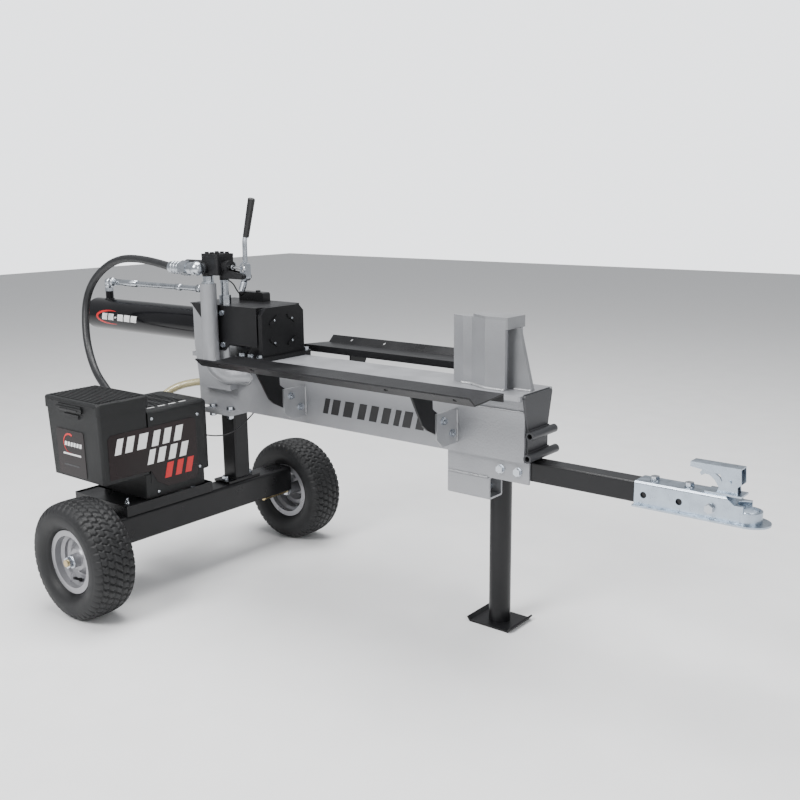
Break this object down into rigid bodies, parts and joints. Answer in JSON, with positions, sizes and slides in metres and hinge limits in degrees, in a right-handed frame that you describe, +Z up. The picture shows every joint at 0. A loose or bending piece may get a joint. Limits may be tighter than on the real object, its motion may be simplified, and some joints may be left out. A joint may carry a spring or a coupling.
{
  "type": "log splitter",
  "caption": "Towable horizontal log splitter: beam with fixed wedge, hydraulic ram and pusher, side cradles, battery power unit, two wheels, swing-down jack and ball coupler.",
  "frame": {"origin": "middle of the whole machine's footprint, on the ground", "axes": "+X along the beam from the cylinder's rear towards the tow coupler, +Y away from the power unit's side, +Z up"},
  "size_m": [2.348, 0.946, 1.1259],
  "materials": {
    "silver_paint": "hammered silver enamel",
    "black_powder": "semi-gloss black powder coat",
    "gloss_black": "gloss black enamel",
    "zinc": "bright bluish zinc plate",
    "dark_steel": "dark grey enamel",
    "chromed_rod": "hard chrome",
    "cast_black": "black painted casting",
    "tyre": "turf tyre rubber",
    "rim_paint": "grey-silver enamel",
    "black_plastic": "textured black moulding",
    "hose_rubber": "wrapped hydraulic hose",
    "clear_hose": "clear yellowish reinforced hose",
    "wire": "black cable sheath",
    "grip": "moulded grip",
    "brass": "plain brass-coloured plating"
  },
  "bodies": {
    "frame": {"axle_spindles": "brass", "axle_tube": "black_powder", "battery_box": "black_plastic", "battery_pack": "black_plastic", "beam_flange": "silver_paint", "beam_side_plates": "silver_paint", "beam_tank": "silver_paint", "coupler_shell": "zinc", "cylinder_barrel": "gloss_black", "cylinder_gland": "gloss_black", "cylinder_side_plates": "silver_paint", "drawbar": "black_powder", "drawbar_plates": "silver_paint", "end_plate": "dark_steel", "far_tray": "black_powder", "guard_cover": "black_powder", "hose_clamps": "zinc", "hydraulic_fittings": "zinc", "jack_pivot": "zinc", "jack_socket": "silver_paint", "latch_bracket": "zinc", "m12_bolts": "zinc", "main_hose": "hose_rubber", "motor_housing": "black_plastic", "near_tray": "black_powder", "post": "black_powder", "post_head_plate": "silver_paint", "pump": "cast_black", "rigid_tube": "zinc", "riser_pipe": "silver_paint", "socket_tubes": "silver_paint", "suction_hose": "clear_hose", "switch_box": "black_plastic", "switch_wires": "wire", "tray_bolts": "zinc", "tray_brackets": "silver_paint", "tray_gussets": "black_powder", "unit_tray": "black_powder", "valve_body": "cast_black", "valve_end_caps": "cast_black", "wedge_backing": "dark_steel", "wedge_knife": "silver_paint", "wedge_wings": "silver_paint", "wheel_nuts": "zinc"},
    "near_wheel": {"near_tyre": "tyre", "near_rim": "rim_paint"},
    "far_wheel": {"far_tyre": "tyre", "far_rim": "rim_paint"},
    "ram": {"piston_rod": "chromed_rod", "pusher_plate": "black_powder", "pusher_slide": "black_powder", "pusher_bolts": "zinc"},
    "jack": {"jack_leg": "black_powder", "jack_foot": "black_powder"},
    "control_lever": {"lever": "zinc", "lever_grip": "grip"},
    "spool": {"valve_spool": "chromed_rod"},
    "lid": {"battery_lid": "black_plastic"},
    "latch": {"coupler_latch": "zinc"},
    "jaw": {"coupler_jaw": "zinc"}
  },
  "joints": [
    {"name": "near_wheel_spin", "type": "hinge", "parent": "frame", "child": "near_wheel", "pos_m": [-0.476, -0.4095, 0.165], "axis": [0, 1, 0], "continuous": true},
    {"name": "far_wheel_spin", "type": "hinge", "parent": "frame", "child": "far_wheel", "pos_m": [-0.476, 0.4095, 0.165], "axis": [0, 1, 0], "continuous": true},
    {"name": "ram_slide", "type": "slide", "parent": "frame", "child": "ram", "axis": [1, 0, 0], "range_m": [0, 0.56]},
    {"name": "lever_swing", "type": "hinge", "parent": "frame", "child": "control_lever", "pos_m": [-0.306, 0.0715, 0.905], "axis": [0, 1, 0], "range_deg": [-12, 12], "stiffness_Nm_per_rad": 8},
    {"name": "spool_slide", "type": "slide", "parent": "frame", "child": "spool", "axis": [1, 0, 0], "range_m": [-0.00505, 0.00505]},
    {"name": "lid_hinge", "type": "hinge", "parent": "frame", "child": "lid", "pos_m": [-0.571, -0.1865, 0.552], "axis": [-1, 0, 0], "range_deg": [0, 100]},
    {"name": "jack_swing", "type": "hinge", "parent": "frame", "child": "jack", "pos_m": [0.452, 0.2455, 0.396], "axis": [0, 1, 0], "range_deg": [0, 90]},
    {"name": "latch_lift", "type": "hinge", "parent": "frame", "child": "latch", "pos_m": [1.087, 0.1605, 0.526], "axis": [0, 1, 0], "range_deg": [0, 60]},
    {"name": "jaw_swing", "type": "hinge", "parent": "frame", "child": "jaw", "pos_m": [1.053, 0.1605, 0.466], "axis": [0, 1, 0], "range_deg": [-15, 0]}
  ],
  "couplings": [
    {"joint": "spool_slide", "follows": "lever_swing", "m_per_rad": 0.024},
    {"joint": "jaw_swing", "follows": "latch_lift", "ratio": -0.25}
  ]
}
